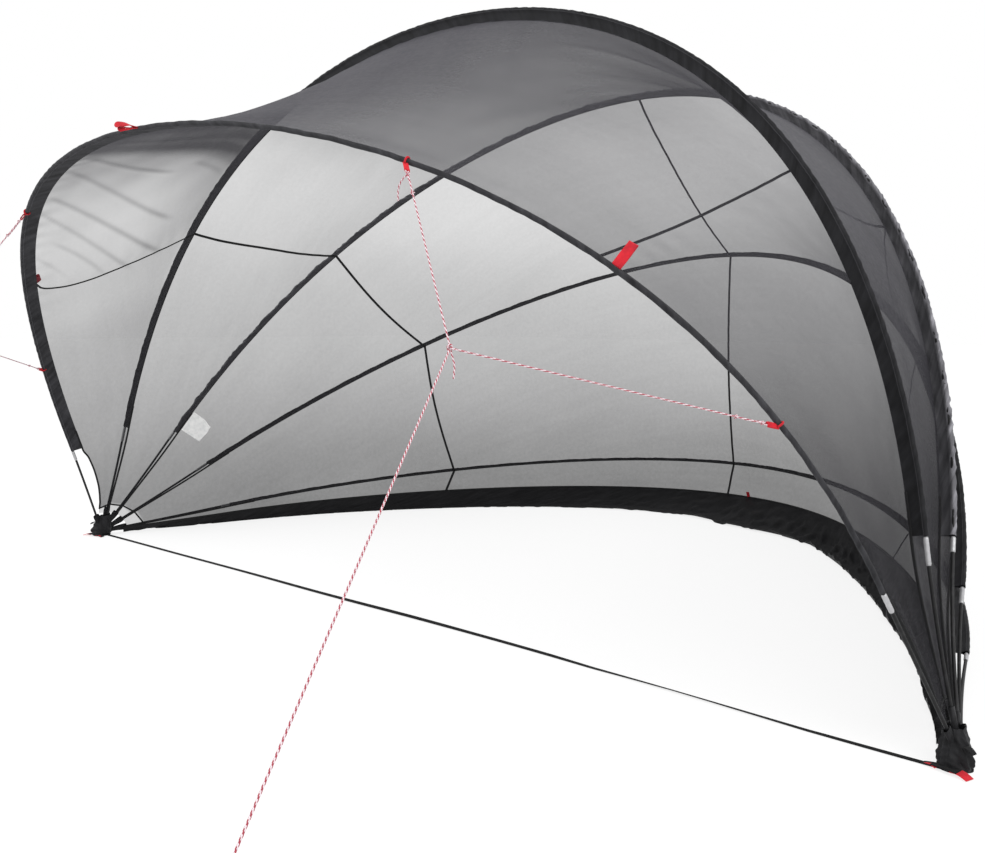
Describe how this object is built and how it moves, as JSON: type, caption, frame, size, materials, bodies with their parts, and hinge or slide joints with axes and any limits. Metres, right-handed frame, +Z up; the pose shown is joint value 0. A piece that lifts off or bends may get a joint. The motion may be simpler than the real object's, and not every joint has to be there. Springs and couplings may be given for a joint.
{
  "type": "half-dome pool shelter",
  "caption": "Half-dome pool shelter: bowed poles in cloth sleeves fan out from two ground feet and carry grey mesh panels, with a dark ground skirt and a guyed front edge.",
  "frame": {"origin": "middle of the ground strap's flat underside, halfway between the two feet, on the ground", "axes": "+X from the left foot to the right foot as seen from the open front, +Y towards the closed rear, +Z up"},
  "size_m": [5.34, 6.4156, 2.7984],
  "materials": {
    "mesh": "fine translucent grey mesh cloth",
    "sleeve": "dark woven sleeve cloth",
    "pole": "black glass-fibre rod",
    "skirt": "black coated cloth",
    "webbing": "black woven webbing",
    "red": "red woven webbing",
    "rope": "red and white braided cord",
    "steel": "plain galvanised rod",
    "label": "blank white woven label"
  },
  "bodies": {
    "root": {"care_label": "label", "foot_left": "webbing", "foot_right": "webbing", "ground_strap": "webbing", "guy_left": "rope", "guy_right": "rope", "guy_tag_left_high": "red", "guy_tag_left_low": "red", "guy_tag_right_high": "red", "guy_tag_right_low": "red", "panel_ab_left_low": "mesh", "panel_ab_left_top": "mesh", "panel_ab_right_low": "mesh", "panel_ab_right_top": "mesh", "panel_bc_left_low": "mesh", "panel_bc_left_top": "mesh", "panel_bc_right_low": "mesh", "panel_bc_right_top": "mesh", "panel_cd_left_low": "mesh", "panel_cd_left_top": "mesh", "panel_cd_right_low": "mesh", "panel_cd_right_top": "mesh", "panel_de_left": "mesh", "panel_de_right": "mesh", "peg_left": "steel", "peg_right": "steel", "pole_a": "pole", "pole_b": "pole", "pole_c": "pole", "pole_d": "pole", "pole_e": "pole", "seam_loop_left": "red", "seam_loop_right": "red", "seam_loop_top": "red", "skirt_left": "skirt", "skirt_right": "skirt", "sleeve_a": "sleeve", "sleeve_b": "sleeve", "sleeve_c": "sleeve", "sleeve_d": "sleeve", "sleeve_e": "sleeve", "wall_left": "mesh", "wall_right": "mesh"}
  },
  "joints": []
}
